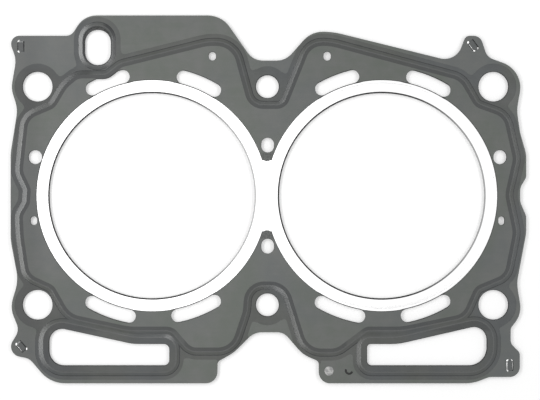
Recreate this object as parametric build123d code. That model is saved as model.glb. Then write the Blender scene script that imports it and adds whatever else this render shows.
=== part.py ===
from build123d import *
import os
from math import asin, atan2, cos, degrees, radians, sqrt, tan

# A three layer steel cylinder head gasket for a pair of cylinders side by side.
# Millimetres. X runs along the row of bores, Y across it, Z up through the sheets.
# The origin is midway between the four corner bolt holes, halfway through the middle sheet.

# Driving sizes
bore_diameter = 101.0
bore_gap = 12.0
bolt_end_room = 10.3
bolt_side_room = 6.4
corner_bolt_hole = 14.6
centre_bolt_hole = 11.2
ring_overlap = 0.6
slot_width = 6.8
tip_radius = 2.75
sheet = 0.25
core = 0.4
bead_rise = 0.2
field_rise = 0.07

# Places that follow from the driving sizes
bore_middle_x = 0.7
centre_bolt_x = 0.95
bore_radius = bore_diameter / 2
bore_pitch = bore_diameter + bore_gap
ring_radius = bore_pitch / 2 + ring_overlap
left_bore_x = bore_middle_x - bore_pitch / 2
right_bore_x = bore_middle_x + bore_pitch / 2
bolt_x = (bore_pitch + bore_diameter + bolt_end_room) / 2
bolt_y = (bore_diameter + bolt_side_room) / 2
tip_y = sqrt((ring_radius + tip_radius) ** 2 - (bore_pitch / 2) ** 2)
relief = bead_rise + field_rise

# Every outline corner is measured from the bolt hole, ring edge or tip that it sits by.
anchors = {
    "nw": (-bolt_x, bolt_y),
    "n": (centre_bolt_x, bolt_y),
    "ne": (bolt_x, bolt_y),
    "w": (left_bore_x - ring_radius, 0),
    "e": (right_bore_x + ring_radius, 0),
    "sw": (-bolt_x, -bolt_y),
    "s": (centre_bolt_x, -bolt_y),
    "se": (bolt_x, -bolt_y),
    "upper_tip": (bore_middle_x, tip_y),
    "lower_tip": (bore_middle_x, -tip_y),
}

# The embossed track: a darker channel around everything that is sealed, with a sloped step in it.
track_width = 5.9
bead_foot = 4.0
bead_top = 1.8
window_track = 6.7
window_bead_foot = 5.0
window_bead_top = 2.8
corner_bolt_track = 11.3
centre_bolt_track = 10.0
oil_track = 4.7
field_tip_radius = 1.5
field_tip_reach = 3.0
widest_tip = 120
tip_bite = 1.01
block_depth = 4.0
oil_bead_foot = 2.4
oil_bead_top = 0.5

# How far the middle sheet shows inside the edges of the coated sheets
core_show = 0.3
core_show_centre_bolt = 0.4

# Oil return hole by the left lug, upright with round ends
oil_hole_at = ("nw", 29.4, 20.0)
oil_hole_size = (13.6, 19.1)
core_oil_hole_at = ("nw", 29.7, 19.3)
core_oil_hole_size = (12.6, 17.3)

# Upright coolant holes: place, width and height
coolant_holes = [
    ("w", -0.4, 19.0, 6.5, 6.9),
    ("w", -1.1, -12.3, 3.2, 4.3),
    ("e", 1.1, 19.0, 6.3, 6.9),
    ("e", 1.8, -12.3, 2.9, 4.2),
    ("upper_tip", 0.35, 5.2, 6.2, 7.3),
    ("lower_tip", 0.35, -5.1, 6.2, 7.3),
    ("n", -27.1, 15.0, 3.5, 4.2),
    ("n", 29.4, 15.0, 3.6, 4.4),
]

# Water slots that hug each bore ring, as start and end angles seen from the bore
slot_spans = [(56.3, 78.4), (100.6, 122.4), (-81, -56.4), (-122.6, -97.7)]

# Raised round bead pressed into the middle sheet around each bore
fire_bead_out = 1.9
fire_bead_width = 3.2
fire_bead_flat = 1.0
fire_bead_rise = 0.12

# Lanced bridges that stitch the sheets together at the lugs: place and lean in degrees
bridges = [
    ("nw", -8.2, 19.8, 0),
    ("ne", -10.0, 20.3, 35),
    ("sw", -7.9, -20.5, 42),
    ("se", 8.0, -29.8, 0),
]
bridge_length = 5.4
bridge_width = 2.4
bridge_slit = 0.6
bridge_rise = 0.17
bridge_ramp = 0.8

# Flat rivet and half-moon locating mark on the lower tab
rivet_at = ("s", 30.3, -32.5)
rivet_head_radius = 2.25
rivet_shank_radius = 1.2
moon_at = ("s", 40.2, -32.3)
moon_outer = 2.1
moon_inner = 1.1
moon_core_hole = 2.4
moon_tilt = -20

# Corners of the sheets' outer edge: anchor, offset across, offset up, rounding radius
outer_edge = [
    ("nw", -13, 25, 4),
    ("nw", 16.5, 25, 4.5),
    ("nw", 23, 35, 11),
    ("n", -22.5, 35, 13),
    ("n", -7, 12.8, 9),
    ("n", 9, 12.8, 10),
    ("n", 21.5, 27, 13.5),
    ("n", 32, 27, 39.5),
    ("ne", -18.5, 12, 9),
    ("ne", -13.5, 25, 2.5),
    ("ne", -6.5, 25, 4.5),
    ("ne", -3, 14.5, 6),
    ("ne", 15, 8, 13),
    ("ne", 11.5, -11.5, 18.5),
    ("e", 11, 31, 19.5),
    ("e", 14, 20.5, 12.5),
    ("e", 14, 9, 3.5),
    ("e", 11, 4, 7),
    ("e", 11, -3, 7),
    ("e", 14, -10, 5),
    ("e", 14, -18.5, 19.5),
    ("se", 11.5, 10.5, 18.5),
    ("se", 14, -4.5, 12),
    ("se", 8.5, -11.5, 3.5),
    ("se", 8.5, -19, 4),
    ("se", 13, -23.5, 3),
    ("se", 13, -35.5, 5),
    ("se", -2, -35.5, 6),
    ("se", -10, -38.6, 19.5),
    ("s", 25.3, -38.6, 5.5),
    ("s", 25.3, -27.8, 2.5),
    ("s", 17.5, -24.5, 15),
    ("s", 8, -13.5, 7),
    ("s", -6.5, -13.5, 9),
    ("s", -16.5, -23.5, 19.5),
    ("s", -24.5, -28, 2.5),
    ("s", -24.8, -38.6, 5.5),
    ("sw", 6.3, -38.6, 15.5),
    ("sw", -4, -26.5, 6),
    ("sw", -16, -24, 5),
    ("sw", -9, -12.5, 6.5),
    ("sw", -13.5, -1.5, 13),
    ("sw", -9.5, 12, 19.5),
    ("w", -12.5, -22, 29.5),
    ("w", -12.5, 21, 29.5),
    ("nw", -9.8, -11, 15),
    ("nw", -13, -1, 13),
    ("nw", -10.5, 13.5, 12.5),
    ("nw", -13, 20, 5),
]

# Corners of the raised field around both bores, inside the embossed track
sealed_field = [
    ("nw", -4.5, -16, 7),
    ("w", -6.5, 12, 7),
    ("w", -2.5, 3.5, 6),
    ("w", -3, -4, 5),
    ("w", -6.5, -10, 5),
    ("w", -6, -20, 29.5),
    ("sw", -4, 15, 6.5),
    ("sw", 8, 9.5, 7),
    ("sw", 16, -4.5, 10),
    ("s", -68.1, -10.7, 29.5),
    ("s", -46.5, -10.7, 7),
    ("s", -37.5, -21, 6),
    ("s", -18, -21, 9),
    ("s", -12, -3, 15),
    ("s", -11, 11.5, 10),
    ("s", 9.5, 11.5, 11),
    ("s", 20, -21.5, 9),
    ("s", 34, -21.5, 8),
    ("s", 48.5, -10.7, 5),
    ("s", 66.2, -10.7, 29.5),
    ("se", -15, -4.5, 7),
    ("se", -9, 9, 7),
    ("se", 5.5, 15, 7),
    ("e", 7.5, -18, 12.5),
    ("e", 3.5, 0.5, 12.5),
    ("e", 7.5, 18, 7.5),
    ("ne", 5, -15, 8),
    ("ne", -9, -10, 7),
    ("ne", -16.5, 3, 9),
    ("n", 31, 20, 24.5),
    ("n", 21.5, 20, 8),
    ("n", 9, -11, 6.5),
    ("n", -9, -11, 9),
    ("n", -17.5, 20, 10),
    ("n", -29.5, 20, 19.5),
    ("nw", 41.5, 9.5, 6),
    ("nw", 34.5, 4, 7),
    ("nw", 20, 4, 6),
    ("nw", 14.5, -0.5, 12.5),
    ("nw", 8.5, -10.5, 7),
]

# Corners of the two long windows along the lower edge
left_window = [
    ("sw", 5.5, -10, 6.5),
    ("s", -66.1, -19, 24.5),
    ("s", -48, -19, 3),
    ("s", -48, -30.1, 3),
    ("sw", 5.5, -30.1, 7.5),
]
right_window = [
    ("s", 48.8, -19, 2),
    ("s", 64.5, -19, 29.5),
    ("se", -3, -9, 6.5),
    ("se", -3, -30.1, 9),
    ("s", 48.8, -30.1, 2.5),
]


# Places
def place(anchor, across=0.0, up=0.0):
    """The point that lies across and up from a named bolt hole or bore edge."""
    x, y = anchors[anchor]
    return Vector(x + across, y + up)


def corners_of(rows):
    """Corner points with their rounding radii, from a list of outline rows."""
    return [(place(anchor, across, up), radius) for anchor, across, up, radius in rows]


def stadium_corners(at, size):
    """Corners of an upright hole with full round ends."""
    middle = place(*at)
    half_width = size[0] / 2
    half_height = size[1] / 2
    spots = [(-1, -1), (1, -1), (1, 1), (-1, 1)]
    return [(middle + Vector(i * half_width, j * half_height), half_width) for i, j in spots]


# Outlines
def sides(corners, i):
    """Directions of the sides that come into and leave corner i."""
    here = corners[i][0]
    into = (here - corners[i - 1][0]).normalized()
    leave = (corners[(i + 1) % len(corners)][0] - here).normalized()
    return into, leave


def winding(corners):
    """1 for an outline that runs anticlockwise, -1 for a clockwise one."""
    area = 0
    for i, (here, _) in enumerate(corners):
        before = corners[i - 1][0]
        area += before.X * here.Y - here.X * before.Y
    return 1 if area > 0 else -1


def grown(corners, by):
    """The same outline with every side moved outward, its round corners kept concentric."""
    turn = winding(corners)
    moved = []
    for i, (here, radius) in enumerate(corners):
        into, leave = sides(corners, i)
        first = Vector(into.Y, -into.X) * turn
        second = Vector(leave.Y, -leave.X) * turn
        shift = (first + second) * (by / (1 + first.dot(second)))
        outward = turn * (into.X * leave.Y - into.Y * leave.X) > 0
        moved.append((here + shift, radius + by if outward else radius - by))
    return moved


def outline(corners, z=0.0):
    """A closed wire of straight sides and tangent arcs at height z."""
    smallest = 0.4
    spare = 0.98
    count = len(corners)
    half_turns = []
    reaches = []
    for i, (_, radius) in enumerate(corners):
        into, leave = sides(corners, i)
        half = atan2(into.X * leave.Y - into.Y * leave.X, into.dot(leave)) / 2
        half_turns.append(half)
        reaches.append(max(radius, smallest) * abs(tan(half)))
    starts = []
    middles = []
    ends = []
    for i, (here, _) in enumerate(corners):
        into, leave = sides(corners, i)
        room_before = (here - corners[i - 1][0]).length / (reaches[i - 1] + reaches[i])
        room_after = (corners[(i + 1) % count][0] - here).length / (reaches[i] + reaches[(i + 1) % count])
        reach = reaches[i] * min(1, spare * room_before, spare * room_after)
        radius = reach / abs(tan(half_turns[i]))
        inward = (leave - into).normalized()
        starts.append(here - into * reach)
        middles.append(here + inward * (radius / cos(half_turns[i]) - radius))
        ends.append(here + leave * reach)
    edges = []
    for i in range(count):
        edges.append(Edge.make_three_point_arc(starts[i], middles[i], ends[i]))
        edges.append(Edge.make_line(ends[i], starts[(i + 1) % count]))
    return Wire(edges).moved(Location((0, 0, z)))


def face_of(corners):
    """A flat face inside a rounded outline."""
    return Face(outline(corners))


def pad(face, low, high):
    """A straight-sided pad between two heights."""
    return extrude(face, amount=high - low, dir=(0, 0, 1)).moved(Location((0, 0, low)))


def ramp(corners, foot, top, low, high):
    """A pad whose edge slopes from one outward reach at the foot to a smaller one at the top."""
    return Solid.make_loft([outline(grown(corners, foot), low), outline(grown(corners, top), high)], ruled=True)


def disc(at, radius):
    """A round face at a point."""
    return Circle(radius).moved(Location((at.X, at.Y, 0)))


field_corners = corners_of(sealed_field)
window_corners = [corners_of(left_window), corners_of(right_window)]
oil_corners = stadium_corners(oil_hole_at, oil_hole_size)
bore_centres = [Vector(left_bore_x, 0), Vector(right_bore_x, 0)]
corner_bolts = [place(name) for name in ("nw", "ne", "se", "sw")]
centre_bolts = [place(name) for name in ("n", "s")]


# Openings
def water_slot(bore, span, inner, outer):
    """A slot bent round a bore, with full round ends inside its span."""
    radius = (inner + outer) / 2
    end_angle = degrees(asin((outer - inner) / 2 / radius))
    first = span[0] + end_angle
    sweep = span[1] - span[0] - 2 * end_angle
    return SlotArc(CenterArc((bore.X, bore.Y), radius, first, sweep), outer - inner)


def bore_opening():
    """The wide opening of the coated sheets: both bore rings joined, with rounded tips between."""
    share = ring_radius / (ring_radius + tip_radius)
    touch_x = bore_pitch / 2 * (1 - share)
    touch_y = tip_y * share
    waist = Rectangle(2 * touch_x, 2 * touch_y).moved(Location((bore_middle_x, 0, 0)))
    shape = waist
    for bore in bore_centres:
        shape += disc(bore, ring_radius)
    for side in (-1, 1):
        shape -= disc(Vector(bore_middle_x, side * tip_y), tip_radius)
    return shape


def upright_hole(anchor, across, up, width, height, extra=0.0):
    """A coolant hole, taller than it is wide."""
    at = place(anchor, across, up)
    shape = SlotOverall(height + extra, width + extra, rotation=90)
    return shape.moved(Location((at.X, at.Y, 0)))


def coated_openings():
    """Everything cut through a coated sheet apart from the slits of the bridges."""
    slot_overlap = 0.6
    shapes = [bore_opening(), face_of(oil_corners)]
    shapes += [face_of(corners) for corners in window_corners]
    shapes += [disc(at, corner_bolt_hole / 2 + core_show) for at in corner_bolts]
    shapes += [disc(at, centre_bolt_hole / 2 + core_show_centre_bolt) for at in centre_bolts]
    shapes += [upright_hole(*hole, extra=core_show) for hole in coolant_holes]
    inside_track = face_of(field_corners)
    for bore in bore_centres:
        for span in slot_spans:
            slot = water_slot(bore, span, ring_radius - slot_overlap, ring_radius + slot_width)
            shapes.append(slot & inside_track)
    return shapes


def core_openings():
    """Everything cut through the middle sheet."""
    shapes = [disc(bore, bore_radius) for bore in bore_centres]
    shapes.append(face_of(stadium_corners(core_oil_hole_at, core_oil_hole_size)))
    shapes += [face_of(grown(corners, -core_show)) for corners in window_corners]
    shapes += [disc(at, corner_bolt_hole / 2) for at in corner_bolts]
    shapes += [disc(at, centre_bolt_hole / 2) for at in centre_bolts]
    shapes += [upright_hole(*hole) for hole in coolant_holes]
    shapes.append(disc(place(*moon_at), moon_core_hole))
    shapes.append(disc(place(*rivet_at), rivet_shank_radius))
    inside_track = face_of(grown(field_corners, -core_show))
    for bore in bore_centres:
        for span in slot_spans:
            shapes.append(water_slot(bore, span, ring_radius, ring_radius + slot_width - core_show) & inside_track)
    return shapes


def bridge_frame(row):
    """Where a lanced bridge lies, turned by its lean."""
    anchor, across, up, lean = row
    at = place(anchor, across, up)
    return Location((at.X, at.Y, 0), (0, 0, lean))


def bridge_slits():
    """The two slits beside each bridge."""
    reach = (bridge_width + bridge_slit) / 2
    slits = []
    for row in bridges:
        for side in (-1, 1):
            slit = SlotOverall(bridge_length, bridge_slit, rotation=90).moved(Location((side * reach, 0, 0)))
            slits.append(slit.moved(bridge_frame(row)))
    return slits


def half_moon():
    """A crescent slit around a small half-round tongue."""
    ring = Circle(moon_outer) - Circle(moon_inner)
    upper = Rectangle(2 * moon_outer, moon_outer).moved(Location((0, moon_outer / 2, 0)))
    at = place(*moon_at)
    return (ring - upper).moved(Location((at.X, at.Y, 0), (0, 0, moon_tilt)))


# Relief
def leaving(edge, corner):
    """The direction in which an edge leaves one of its ends."""
    if (edge.position_at(0) - corner).length < (edge.position_at(1) - corner).length:
        return edge.tangent_at(0)
    return edge.tangent_at(1) * -1


def tip_scrap(field, corner):
    """What rounding takes off a pointed tip of a flat field, or nothing where the corner is blunt."""
    beside = [edge for edge in field.outer_wire().edges() if edge.distance_to(corner) < 0.001]
    first, second = [leaving(edge, corner) for edge in beside]
    half = radians(first.get_angle(second) / 2)
    if half > radians(widest_tip) / 2:
        return []
    reach = min(field_tip_radius / tan(half), field_tip_reach)
    round_end = disc(corner + (first + second).normalized() * (reach / cos(half)), reach * tan(half) * tip_bite)
    scrap = (disc(corner, reach) & field) - round_end
    return [scrap.faces().sort_by_distance(corner)[0]]


def rounded_tips(shape):
    """Flat fields whose pointed tips are rounded."""
    for field in shape.faces():
        for vertex in field.outer_wire().vertices():
            for scrap in tip_scrap(field, vertex.center()):
                shape -= scrap
    return shape


def outer_fields():
    """The flat parts of a coated sheet outside the embossed track, their pointed tips rounded."""
    shape = face_of(corners_of(outer_edge)) - face_of(grown(field_corners, track_width))
    shape -= face_of(grown(oil_corners, oil_track))
    for corners in window_corners:
        shape -= face_of(grown(corners, window_track))
    for at in corner_bolts:
        shape -= disc(at, corner_bolt_track)
    for at in centre_bolts:
        shape -= disc(at, centre_bolt_track)
    return pad(rounded_tips(shape), -block_depth / 2, field_rise)


def bridge_bump(row, base):
    """The strip of a lanced bridge, lifted with a ramp at each end."""
    wide = bridge_width + bridge_slit
    foot = Rectangle(wide, bridge_length).face().outer_wire()
    top = Rectangle(wide, bridge_length - 2 * bridge_ramp).face().outer_wire()
    lift = Location((0, 0, base + bridge_rise))
    bump = Solid.make_loft([foot.moved(Location((0, 0, base))), top.moved(lift)], ruled=True)
    return bump.moved(bridge_frame(row))


def relief_block():
    """A thick block whose upper face is the embossed surface, with the track's floor at zero."""
    margin = 20.0
    long = 2 * (bolt_x + margin)
    wide = 2 * (bolt_y + 2 * margin)
    block = Box(long, wide, block_depth, align=(Align.CENTER, Align.CENTER, Align.MAX))
    block += ramp(field_corners, bead_foot, bead_top, 0.0, bead_rise)
    block += pad(face_of(field_corners), bead_rise, relief)
    for corners in window_corners:
        block += ramp(corners, window_bead_foot, window_bead_top, 0.0, bead_rise)
    block += ramp(oil_corners, oil_bead_foot, oil_bead_top, 0.0, bead_rise)
    block += outer_fields()
    for row in bridges:
        block += bridge_bump(row, field_rise)
    return block


def cut_sheet(face, shapes, low, high):
    """A prism of the sheet outline with every opening cut through it."""
    for shape in shapes:
        face = face - shape
    return pad(face, low, high)


def embossed_skin():
    """A layer of even thickness with the embossed form on both of its faces."""
    block = relief_block()
    return block.moved(Location((0, 0, sheet))) - block


def coated_sheet(skin, extra_openings):
    """An embossed coated sheet with its lowest face at zero, relief upward."""
    shapes = coated_openings() + bridge_slits() + [disc(place(*rivet_at), rivet_shank_radius)]
    low = -sheet
    high = 2 * (sheet + relief)
    return skin & cut_sheet(face_of(corners_of(outer_edge)), shapes + extra_openings, low, high)


def fire_bead(bore, low):
    """A round bead with sloped sides that runs around a bore, standing on height low."""
    slope = (fire_bead_width - fire_bead_flat) / 2
    first = bore_radius + fire_bead_out
    last = first + fire_bead_width
    section = [(first, 0), (first + slope, fire_bead_rise), (last - slope, fire_bead_rise), (last, 0)]
    ring = revolve(Plane.XZ * make_face(Polyline(section, close=True)), Axis.Z)
    return ring.moved(Location((bore.X, bore.Y, low)))


def core_sheet():
    """The bright middle sheet with a pressed bead around each bore."""
    edge = grown(corners_of(outer_edge), -core_show)
    plate = cut_sheet(face_of(edge), core_openings(), -core / 2, core / 2)
    for bore in bore_centres:
        plate += fire_bead(bore, core / 2)
        plate -= fire_bead(bore, -core / 2)
    return plate


def rivet():
    """A flat rivet through all three sheets."""
    head = relief - field_rise
    half = core / 2 + sheet + field_rise
    at = place(*rivet_at)
    body = Cylinder(rivet_shank_radius, 2 * half)
    for side in (-1, 1):
        body += Cylinder(rivet_head_radius, head).moved(Location((0, 0, side * (half + head / 2))))
    return body.moved(Location((at.X, at.Y, 0)))


# Build and write
skin = embossed_skin()
on_core = Location((0, 0, core / 2))
nodes = {
    "top_sheet": coated_sheet(skin, [half_moon()]).moved(on_core),
    "core_sheet": core_sheet(),
    "bottom_sheet": coated_sheet(skin, []).moved(on_core).mirror(Plane.XY),
    "rivet": rivet(),
}

os.makedirs("parts", exist_ok=True)
for name, shape in nodes.items():
    export_step(shape, f"parts/{name}.step")
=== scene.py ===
import bpy
import bmesh
from math import pi, radians
from types import SimpleNamespace
from mathutils import Matrix, Vector


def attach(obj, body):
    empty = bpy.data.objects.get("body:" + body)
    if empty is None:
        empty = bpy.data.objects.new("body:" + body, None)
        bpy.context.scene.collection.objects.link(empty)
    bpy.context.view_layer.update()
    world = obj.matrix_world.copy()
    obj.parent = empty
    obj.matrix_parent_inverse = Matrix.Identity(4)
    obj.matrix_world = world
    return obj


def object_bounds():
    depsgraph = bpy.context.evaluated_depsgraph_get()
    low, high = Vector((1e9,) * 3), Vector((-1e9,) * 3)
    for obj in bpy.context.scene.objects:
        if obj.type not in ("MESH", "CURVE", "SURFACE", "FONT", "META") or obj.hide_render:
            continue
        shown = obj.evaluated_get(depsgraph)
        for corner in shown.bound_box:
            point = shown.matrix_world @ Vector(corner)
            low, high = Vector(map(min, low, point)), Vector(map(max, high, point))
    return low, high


# A three layer steel cylinder head gasket, lying flat on a white table and seen from straight above.
# Metres, in the frame of the solids: X along the row of bores, Y up the picture, Z up through the sheets.

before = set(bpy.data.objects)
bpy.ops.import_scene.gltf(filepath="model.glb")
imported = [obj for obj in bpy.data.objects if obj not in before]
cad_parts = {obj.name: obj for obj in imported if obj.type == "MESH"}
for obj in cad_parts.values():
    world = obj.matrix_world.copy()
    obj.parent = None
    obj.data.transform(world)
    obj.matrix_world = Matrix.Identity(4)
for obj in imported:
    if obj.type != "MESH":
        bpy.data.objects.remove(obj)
cad_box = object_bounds()

MM = 0.001

# Heights of the embossed form, from the middle of the gasket, in millimetres
track_floor = 0.45
outer_field = 0.52
bead_plateau = 0.65
sealed_field = 0.72

# How upright a face of the sheet points: above the first it is level, and below the second a cut edge
level_upright = 0.9985
cut_upright = 0.5

# The bores, their bright rings and the web between them, in millimetres; the dark line round a bore is
# painted shade that fades over a stretch to the right of the bore's middle, and the ring's margin is a
# painted shadow line
bore_middles = (-55.8, 57.2)
web_middle = sum(bore_middles) / 2
half_pitch = (bore_middles[1] - bore_middles[0]) / 2
bore_radius = 50.5
bore_line_width = 0.74
bore_line_fade = (10, 50)
ring_radius = 57.1
ring_margin = 0.25
bead_outer_foot = 55.6
bead_line_width = 0.24
web_half_width = 4.6
web_half_height = 17.5

# Beside the bent slots the bright ring ends a little sooner, widening the painted shadow line there:
# from and to, out from the middle of a bore
slot_along = (10, 31)
slot_up = 40
slot_margin = 0.2

# Where painted shade and painted highlights lie on the coating, and where it is scorched, in millimetres
left_edge_end = -111
left_side_end = -88
left_ends_along = (-114, -84)
left_ends_up = 60
left_bolt_along = (-119, -86)
left_bolt_up = (32, 63)
windows_inner_end = 40
windows_left_end = -106.5
windows_top = -66.5
right_flank_shade_stretch = (-80, -40)
unshaded_side = 60
tip_half_width = 6
tip_half_height = 21.2

# Lanced bridges in millimetres: middle and lean, then half the width of the bare torn metal beside
# the left and the right slit, as the hook over its upper end, its run and the hook over its lower end
bridge_places = [
    (-120.35, 73.5, 0, (0.55, 0, 0.50), (0, 0, 0)),
    (102.15, 74.0, 35, (0.55, 0.14, 0.40), (0, 0, 0.25)),
    (-120.05, -74.2, 42, (0.55, 0.16, 0), (0, 0, 0.40)),
    (120.15, -83.5, 0, (0.40, 0.27, 0.40), (0.25, 0.12, 0)),
]
half_lip = 2.1
hook_radius = 0.65
hook_inset = 0.68
lip_radius = 0.3
lip_height = 0.41

# The photograph's frame and the stretch of table that it shows, with the camera's height in metres
image_width = 540
millimetres_per_pixel = 0.4919
picture_middle = (2.23, -2.11)
camera_height = 0.62

# The table lies this far under the gasket, in millimetres, so that the shade in the small holes is soft
table_gap = 0.7
table_half_side = 1.5

# How bright the camera sees the table by itself, and how much of the room's white falls on the gasket
table_glow = 0.27
room_light = 0.52


# Shader maths
class Level:
    """A number or colour that varies over a surface; its operators add nodes."""

    def __init__(self, finish, socket):
        self.finish = finish
        self.socket = socket

    def maths(self, operation, *others):
        """A Math node on this level and the others."""
        sockets = dict(enumerate((self, *others)))
        return self.finish.node("ShaderNodeMath", {"operation": operation}, sockets)

    def __add__(self, other):
        return self.maths("ADD", other)

    def __sub__(self, other):
        return self.maths("SUBTRACT", other)

    def __mul__(self, other):
        return self.maths("MULTIPLY", other)

    def __rsub__(self, other):
        return self * -1 + other

    __radd__ = __add__
    __rmul__ = __mul__

    def __abs__(self):
        return self.maths("ABSOLUTE")

    def above(self, edge, softness):
        """0 below an edge and 1 above it, with a soft step between."""
        return self.ranged(edge - softness, edge + softness, 0, 1)

    def below(self, edge, softness):
        """1 below an edge and 0 above it."""
        return 1 - self.above(edge, softness)

    def between(self, low, high, softness):
        """1 inside a band and 0 outside it."""
        return self.above(low, softness) * self.below(high, softness)

    def ranged(self, low, high, to_low, to_high):
        """One stretch of values laid over another, and held at its ends."""
        sockets = {"Value": self, "From Min": low, "From Max": high, "To Min": to_low, "To Max": to_high}
        return self.finish.node("ShaderNodeMapRange", {"interpolation_type": "SMOOTHSTEP"}, sockets)


class Finish:
    """A material, or the light of the room, being put together."""

    def __init__(self, holder):
        holder.use_nodes = True
        self.holder = holder
        self.tree = holder.node_tree
        self.tree.nodes.clear()

    def node(self, kind, settings=None, sockets=None, out=0):
        """Any node: its settings go in first, then the values or links of its sockets."""
        made = self.tree.nodes.new(kind)
        for name, value in (settings or {}).items():
            setattr(made, name, value)
        for name, value in (sockets or {}).items():
            if isinstance(value, Level):
                self.tree.links.new(value.socket, made.inputs[name])
            else:
                made.inputs[name].default_value = value
        return Level(self, made.outputs[out]) if made.outputs else None

    def place(self):
        """Where the point lies on the gasket, in metres."""
        return self.node("ShaderNodeTexCoord", out="Object")

    def split(self, at, letter):
        """One coordinate of a point or direction."""
        return self.node("ShaderNodeSeparateXYZ", None, {"Vector": at}, out=letter)

    def millimetres(self, at, letter):
        """One coordinate of a point, in millimetres."""
        return self.split(at, letter) * (1 / MM)

    def bore_distance(self, at):
        """How far a point lies from the middle of the nearer bore, in millimetres."""
        flat = self.node("ShaderNodeMapping", {"vector_type": "POINT"}, {"Vector": at, "Scale": (1, 1, 0)})
        reach = []
        for middle in bore_middles:
            ends = {0: flat, 1: (middle * MM, 0, 0)}
            reach.append(self.node("ShaderNodeVectorMath", {"operation": "DISTANCE"}, ends, out="Value"))
        return reach[0].maths("MINIMUM", reach[1]) * (1 / MM)

    def spread(self, at, scale, detail=4.0, stretch=(1, 1, 1)):
        """Soft random mottling; scale is how many spots fit in a metre."""
        laid = self.node("ShaderNodeMapping", {"vector_type": "POINT"}, {"Vector": at, "Scale": stretch})
        sockets = {"Vector": laid, "Scale": scale, "Detail": detail, "Roughness": 0.55}
        return self.node("ShaderNodeTexNoise", {"noise_dimensions": "3D"}, sockets)

    def blend(self, share, first, second):
        """One colour turning into another; a Mix node keeps its colours in sockets 6 and 7."""
        sockets = {0: share, 6: first, 7: second}
        return self.node("ShaderNodeMix", {"data_type": "RGBA", "blend_type": "MIX"}, sockets, out=2)

    def bump(self, height, distance, strength):
        """A fine unevenness of the surface, with its height in metres."""
        sockets = {"Height": height, "Distance": distance, "Strength": strength}
        return self.node("ShaderNodeBump", None, sockets)

    def surface(self, **sockets):
        """The shader of the piece and the material's output."""
        named = {name.replace("_", " "): value for name, value in sockets.items()}
        shader = self.node("ShaderNodeBsdfPrincipled", None, named)
        self.node("ShaderNodeOutputMaterial", None, {"Surface": shader})
        return self.holder

    def looked_at(self):
        """1 for what the camera sees, straight on or in a reflection, and 0 for light on things."""
        kinds = ("Camera", "Glossy", "Transmission")
        rays = [self.node("ShaderNodeLightPath", out=f"Is {kind} Ray") for kind in kinds]
        return sum(rays).maths("MINIMUM", 1)


def colour(red, green, blue):
    """A colour for a socket."""
    return (red, green, blue, 1)


# Finishes
def embossed_form(finish, at):
    """Which part of the pressed sheet a point is on; each is 1 there and 0 elsewhere."""
    height = abs(finish.millimetres(at, "Z"))
    facing = finish.node("ShaderNodeNewGeometry", out="True Normal")
    upright = abs(finish.split(facing, "Z"))
    rightward = finish.split(facing, "X")
    level = upright.above(level_upright, 0.0008)
    cut = upright.below(cut_upright, 0.2)
    flank = (1 - level) * (1 - cut)
    outer = height.between(outer_field - 0.03, outer_field + 0.04, 0.015)
    sealed = height.above(sealed_field - 0.03, 0.015)
    return SimpleNamespace(
        level=level,
        cut=cut,
        flank=flank,
        field=(outer + sealed) * level,
        plateau=height.between(bead_plateau - 0.05, bead_plateau + 0.035, 0.012) * level,
        crease=flank * height.below(track_floor + 0.035, 0.02),
        ridge=flank * height.above(bead_plateau - 0.05, 0.02),
        inside=height.below(track_floor - 0.04, 0.03),
        to_right=rightward.above(0.04, 0.02),
        to_left=rightward.below(-0.08, 0.04),
    )


def coated_places(finish, at):
    """Where painted shade and painted highlights lie on the coating, and where it is scorched; each is 1
    there and 0 elsewhere.
    """
    along = finish.millimetres(at, "X")
    up = finish.millimetres(at, "Y")
    by_windows = abs(along).above(windows_inner_end, 1) * along.above(windows_left_end, 0.5)
    return SimpleNamespace(
        left_edge=along.below(left_edge_end, 6),
        left_side=along.below(left_side_end, 12),
        left_ends=along.between(*left_ends_along, 2) * abs(up).above(left_ends_up, 3),
        left_bolt=along.between(*left_bolt_along, 2) * up.between(*left_bolt_up, 2),
        windows=by_windows * up.below(windows_top, 1),
        right_flank_shade=along.ranged(*right_flank_shade_stretch, 0.8, 0.15) * along.below(unshaded_side, 30),
        tips=abs(along - web_middle).below(tip_half_width, 1) * abs(up).below(tip_half_height, 0.6),
    )


def coated_tones(finish, at, field):
    """The two greys of the rubber coating: worn raised fields and a darker pressed track."""
    cloud = finish.spread(at, 34)
    patch = finish.spread(at, 160, detail=5)
    grain = finish.spread(at, 1400, detail=3)
    drawn = finish.spread(at, 700, detail=3, stretch=(0.06, 1, 1))
    worn = (cloud * 0.4 + patch * 0.35 + grain * 0.1 + drawn * 0.15).ranged(0.38, 0.64, 0, 1)
    tint = finish.spread(at, 22, detail=2).ranged(0.42, 0.6, 0, 1)
    field_tone = finish.blend(
        worn,
        finish.blend(tint, colour(0.106, 0.120, 0.104), colour(0.110, 0.119, 0.118)),
        colour(0.132, 0.137, 0.131),
    )
    track_tone = finish.blend(
        worn,
        finish.blend(tint, colour(0.071, 0.076, 0.069), colour(0.070, 0.076, 0.078)),
        finish.blend(tint, colour(0.093, 0.097, 0.092), colour(0.089, 0.096, 0.098)),
    )
    return finish.blend(field, track_tone, field_tone), grain


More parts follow.
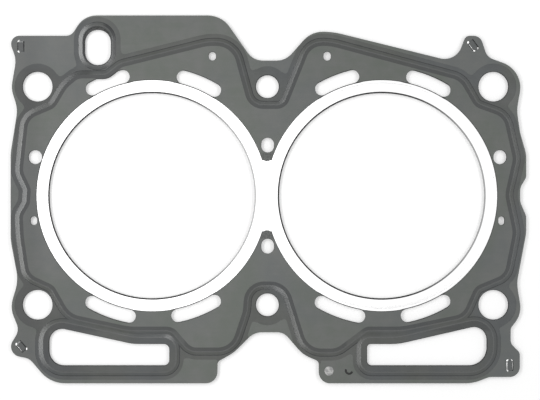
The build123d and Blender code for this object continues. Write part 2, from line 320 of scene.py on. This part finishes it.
def rubber_coating():
    """Grey rubber-coated sheet: a lighter worn field, a darker embossed track and bare cut edges, with
    painted shade on the left, in the creases, on the bead plateaus, on right-facing flanks and on the inner
    faces, ridges lighter partly by wear and partly as a painted highlight, and a painted highlight on
    left-facing flanks at the left ends.
    """
    finish = Finish(bpy.data.materials.new("rubber_coated_steel"))
    at = finish.place()
    form = embossed_form(finish, at)
    place = coated_places(finish, at)
    tone, grain = coated_tones(finish, at, form.field)

    # Painted shade: the left edge, the left side of the track and the track beside the upper left bolt hole
    # are darkened
    shaded_track = (place.left_side * 0.2 + place.left_bolt * 0.15) * (form.level - form.field)
    shaded = place.left_edge * form.level * 0.28 + shaded_track
    # Painted shade in the creases at the foot of the flanks and on the bead plateaus
    painted_foot_shade = form.crease * (0.9 - place.left_bolt * 0.45)
    painted_plateau_shade = form.plateau * (0.55 - place.windows * 0.45)
    # Painted shade on the flanks that face right, and on the flanks beside the upper left bolt hole
    painted_flank_shade = form.flank * (form.to_right * place.right_flank_shade + place.left_bolt * 0.45)
    # Ridges lighter: partly wear, partly a painted highlight along the bead
    rubbed_and_highlit = form.ridge * (1 - place.left_bolt) * 0.6
    # Painted highlight on the left-facing flanks at the left ends of the window and oil hole beads
    painted_highlight = form.flank * form.to_left * place.left_ends * 0.85
    scorched = place.tips * grain.ranged(0.4, 0.6, 0.1, 0.75)
    edge_grain = grain.ranged(0.35, 0.65, 0, 1)
    edge_tone = finish.blend(edge_grain, colour(0.05, 0.05, 0.05), colour(0.12, 0.12, 0.12))
    layers = [
        (shaded, colour(0.020, 0.021, 0.024)),
        (painted_foot_shade + painted_plateau_shade + painted_flank_shade, colour(0.030, 0.032, 0.034)),
        (rubbed_and_highlit, colour(0.132, 0.136, 0.135)),
        (painted_highlight, colour(0.200, 0.206, 0.203)),
        (scorched, colour(0.045, 0.047, 0.047)),
        (form.cut, edge_tone),
        # Painted shade: inner faces seen through the slits are made near-black
        (form.inside * 0.85, colour(0.012, 0.012, 0.012)),
    ]
    for share, layer in layers:
        tone = finish.blend(share, tone, layer)
    return finish.surface(
        Base_Color=tone,
        Metallic=form.cut * 0.6,
        Roughness=grain * 0.02 + form.level * 0.31 - form.field * 0.12 + 0.15,
        Normal=finish.bump(grain, 0.00002, 0.05),
    )


def rolled_steel():
    """The middle sheet: bright steel in the bore rings and the web; elsewhere a near-black grey that is
    painted shade, seen as the dark lines at the bore's edge, the ring's edge and the slots, and on the rims
    in the holes and slits.
    """
    finish = Finish(bpy.data.materials.new("bright_rolled_steel"))
    at = finish.place()
    reach = finish.bore_distance(at)
    along = finish.millimetres(at, "X") - web_middle
    up = abs(finish.millimetres(at, "Y"))
    from_bore = along - along.maths("SIGN") * half_pitch
    web = abs(along).below(web_half_width, 0.1) * up.below(web_half_height, 0.1)
    by_slot = abs(from_bore).between(*slot_along, 1) * up.above(slot_up, 1)
    # Painted shadow line: the bright ring stops a margin short of the sheets' edge, sooner beside the slots,
    # and the near-black grey shows there
    ring = (reach + by_slot * slot_margin).below(ring_radius - ring_margin, 0.12)
    bright = ring.maths("MAXIMUM", web)
    # Painted shade: the dark line round the bore, fading to the right of the bore's middle
    bore_fade = from_bore.ranged(*bore_line_fade, 1, 0.68)
    bore_line = reach.below(bore_radius + bore_line_width, 0.1) * bore_fade
    bead_line = abs(reach - bead_outer_foot).below(bead_line_width / 2, 0.05)

    streaks = finish.spread(at, 260, detail=6, stretch=(0.05, 1, 1))
    specks = finish.spread(at, 1500, detail=2)
    shine = finish.blend(streaks.ranged(0.3, 0.7, 0, 1), colour(0.97, 0.97, 0.975), colour(0.99, 0.99, 0.99))
    marks = specks.above(0.70, 0.03) * 0.5 + bead_line * streaks.above(0.52, 0.06) * 0.45
    speckled = finish.blend(marks, shine, colour(0.3, 0.3, 0.31))
    # Near-black painted shade for the lines at the bore and ring edges and the rims in holes and slits, with
    # a little coating grey mixed in
    dull_specks = specks.ranged(0.35, 0.65, 0, 1)
    dull = finish.blend(dull_specks, colour(0.015, 0.015, 0.015), colour(0.06, 0.06, 0.06))
    coated_tone, _ = coated_tones(finish, at, 0.0)
    shade_grey = finish.blend(bore_line.maths("MAXIMUM", 0.75), coated_tone, dull)
    return finish.surface(
        Base_Color=finish.blend(bright * (1 - bore_line), shade_grey, speckled),
        Metallic=bright.maths("MAXIMUM", 0.8),
        Roughness=streaks * 0.1 + 0.3,
        Normal=finish.bump(streaks, 0.00002, 0.1),
    )


def riveted_steel():
    """Bare steel of the flat rivet, with soft scuffs."""
    finish = Finish(bpy.data.materials.new("bare_rivet_steel"))
    scuffs = finish.spread(finish.place(), 600, detail=3)
    scuffed = scuffs.ranged(0.38, 0.60, 0, 1)
    return finish.surface(
        Base_Color=finish.blend(scuffed, colour(0.26, 0.26, 0.26), colour(0.42, 0.42, 0.41)),
        Metallic=1.0,
        Roughness=scuffs * 0.2 + 0.3,
        Normal=finish.bump(scuffs, 0.00004, 0.15),
    )


def torn_steel():
    """Bare steel where the sheet was sheared, bright with dull torn patches."""
    finish = Finish(bpy.data.materials.new("bare_sheared_steel"))
    torn = finish.spread(finish.place(), 1100, detail=5)
    clean = torn.ranged(0.34, 0.48, 0, 1)
    return finish.surface(
        Base_Color=finish.blend(clean, colour(0.45, 0.45, 0.44), colour(0.97, 0.97, 0.96)),
        Metallic=1.0,
        Roughness=torn * 0.2 + 0.3,
        Normal=finish.bump(torn, 0.00004, 0.2),
    )


def table_top():
    """A plain white table that stays white to the camera and keeps the gasket's shadow."""
    finish = Finish(bpy.data.materials.new("white_table"))
    lit = finish.node("ShaderNodeBsdfDiffuse", None, {"Color": colour(0.88, 0.88, 0.88)})
    strength = finish.looked_at() * table_glow
    glow = finish.node("ShaderNodeEmission", None, {"Color": colour(1, 1, 1), "Strength": strength})
    both = finish.node("ShaderNodeAddShader", None, {0: lit, 1: glow})
    finish.node("ShaderNodeOutputMaterial", None, {"Surface": both})
    return finish.holder


def dress(name, material):
    """Gives a solid of the frame its finish."""
    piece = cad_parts[name]
    piece.data.materials.clear()
    piece.data.materials.append(material)


coating = rubber_coating()
dress("top_sheet", coating)
dress("bottom_sheet", coating)
dress("core_sheet", rolled_steel())
dress("rivet", riveted_steel())


# Lanced bridges
def shift(along, up, height=0):
    """A move given in millimetres."""
    return Matrix.Translation((along * MM, up * MM, height * MM))


def lip_ring(lip, put, width):
    """The flattened end ring that a stretch of torn lip starts from."""
    flattened = put @ Matrix.Diagonal((1, width / lip_radius, 1, 1))
    ring = bmesh.ops.create_circle(lip, segments=10, radius=lip_radius * MM, matrix=flattened)["verts"]
    return ring + list({edge for vert in ring for edge in vert.link_edges})


def torn_hook(width):
    """A bare lip that hooks round over the upper end of a slit."""
    lip = bmesh.new()
    start = shift(-hook_inset, half_lip + hook_radius) @ Matrix.Rotation(pi / 2, 4, "Y")
    ring = lip_ring(lip, start, width)
    middle = (-hook_inset * MM, half_lip * MM, 0)
    bmesh.ops.spin(lip, geom=ring, cent=middle, axis=(0, 0, 1), angle=pi / 2, steps=6)
    return lip


def torn_run(width):
    """A bare lip along the side of a slit."""
    lip = bmesh.new()
    sideways = Matrix.Rotation(pi / 2, 4, "X") @ Matrix.Rotation(pi / 2, 4, "Z")
    ring = lip_ring(lip, shift(-hook_inset - hook_radius, half_lip) @ sideways, width)
    edges = [part for part in ring if isinstance(part, bmesh.types.BMEdge)]
    run = bmesh.ops.extrude_edge_only(lip, edges=edges)["geom"]
    moved = [part for part in run if isinstance(part, bmesh.types.BMVert)]
    bmesh.ops.translate(lip, verts=moved, vec=(0, -2 * half_lip * MM, 0))
    return lip


def torn_bits(upper, middle, lower):
    """The bare bits beside one slit, each with 1 or -1 for the way up that it is put in."""
    bits = [(torn_hook, upper, 1), (torn_run, middle, 1), (torn_hook, lower, -1)]
    return [(make(width), way) for make, width, way in bits if width]


def torn_lips(along, up, lean, left, right):
    """Every bare bit of one lanced bridge, on both faces of the gasket, with the place it goes to."""
    for face in (-1, 1):
        laid = shift(along, up, face * lip_height) @ Matrix.Rotation(radians(lean), 4, "Z")
        for side, widths in ((-1, left), (1, right)):
            for lip, way in torn_bits(*widths):
                yield lip, laid @ Matrix.Diagonal((-side, way, 1, 1))


def add_to(whole, lip):
    """Takes a finished lip into the mesh that holds them all."""
    part = bpy.data.meshes.new("lip_part")
    lip.to_mesh(part)
    lip.free()
    whole.from_mesh(part)
    bpy.data.meshes.remove(part)


def bridge_lips():
    """The bare torn lips of all four lanced bridges, as one piece."""
    whole = bmesh.new()
    for bridge in bridge_places:
        for lip, laid in torn_lips(*bridge):
            bmesh.ops.holes_fill(lip, edges=[edge for edge in lip.edges if edge.is_boundary])
            bmesh.ops.transform(lip, matrix=laid, verts=lip.verts)
            bmesh.ops.recalc_face_normals(lip, faces=lip.faces)
            add_to(whole, lip)
    for face in whole.faces:
        face.smooth = True
    mesh = bpy.data.meshes.new("bridge_lips")
    whole.to_mesh(mesh)
    whole.free()
    piece = bpy.data.objects.new("bridge_lips", mesh)
    bpy.context.scene.collection.objects.link(piece)
    mesh.materials.append(torn_steel())
    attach(piece, "root")


bridge_lips()


# Table
def table():
    """A wide plain floor under the gasket."""
    mesh = bpy.data.meshes.new("table")
    shape = bmesh.new()
    bmesh.ops.create_grid(shape, x_segments=1, y_segments=1, size=table_half_side)
    bmesh.ops.translate(shape, verts=shape.verts, vec=(0, 0, cad_box[0][2] - table_gap * MM))
    shape.to_mesh(mesh)
    shape.free()
    top = bpy.data.objects.new("table", mesh)
    bpy.context.scene.collection.objects.link(top)
    mesh.materials.append(table_top())


table()


# Light
def lamp(name, at, towards, size, watts):
    """A soft rectangular lamp that faces a point."""
    data = bpy.data.lights.new(name, "AREA")
    data.shape = "RECTANGLE"
    data.size, data.size_y = size
    data.energy = watts
    made = bpy.data.objects.new(name, data)
    made.location = at
    made.rotation_euler = (Vector(towards) - Vector(at)).to_track_quat("-Z", "Y").to_euler()
    bpy.context.scene.collection.objects.link(made)


lamp("left_lamp", at=(-0.34, 0.10, 0.50), towards=(-0.02, 0.04, 0), size=(0.7, 0.16), watts=1.5)
lamp("near_lamp", at=(-0.055, -0.02, 0.66), towards=(-0.055, -0.02, 0), size=(0.07, 0.42), watts=0.36)
lamp("right_lamp", at=(0.42, 0.08, 0.50), towards=(0, 0.04, 0), size=(0.7, 0.16), watts=0.9)


def daylight():
    """Even pale light all round, white to the camera and in reflections."""
    world = bpy.data.worlds.new("pale_room")
    bpy.context.scene.world = world
    room = Finish(world)
    strength = room.looked_at() * (1 - room_light) + room_light
    back = room.node("ShaderNodeBackground", None, {"Strength": strength})
    room.node("ShaderNodeOutputWorld", None, {"Surface": back})


daylight()


# Camera
def camera():
    """Looks straight down on the middle of the photograph."""
    data = bpy.data.cameras.new("overhead_camera")
    made = bpy.data.objects.new("overhead_camera", data)
    made.location = (picture_middle[0] * MM, picture_middle[1] * MM, camera_height)
    width = image_width * millimetres_per_pixel * MM
    data.lens = data.sensor_width * (camera_height - sealed_field * MM) / width
    bpy.context.scene.collection.objects.link(made)
    bpy.context.scene.camera = made


camera()
bpy.context.scene.view_settings.view_transform = "Standard"
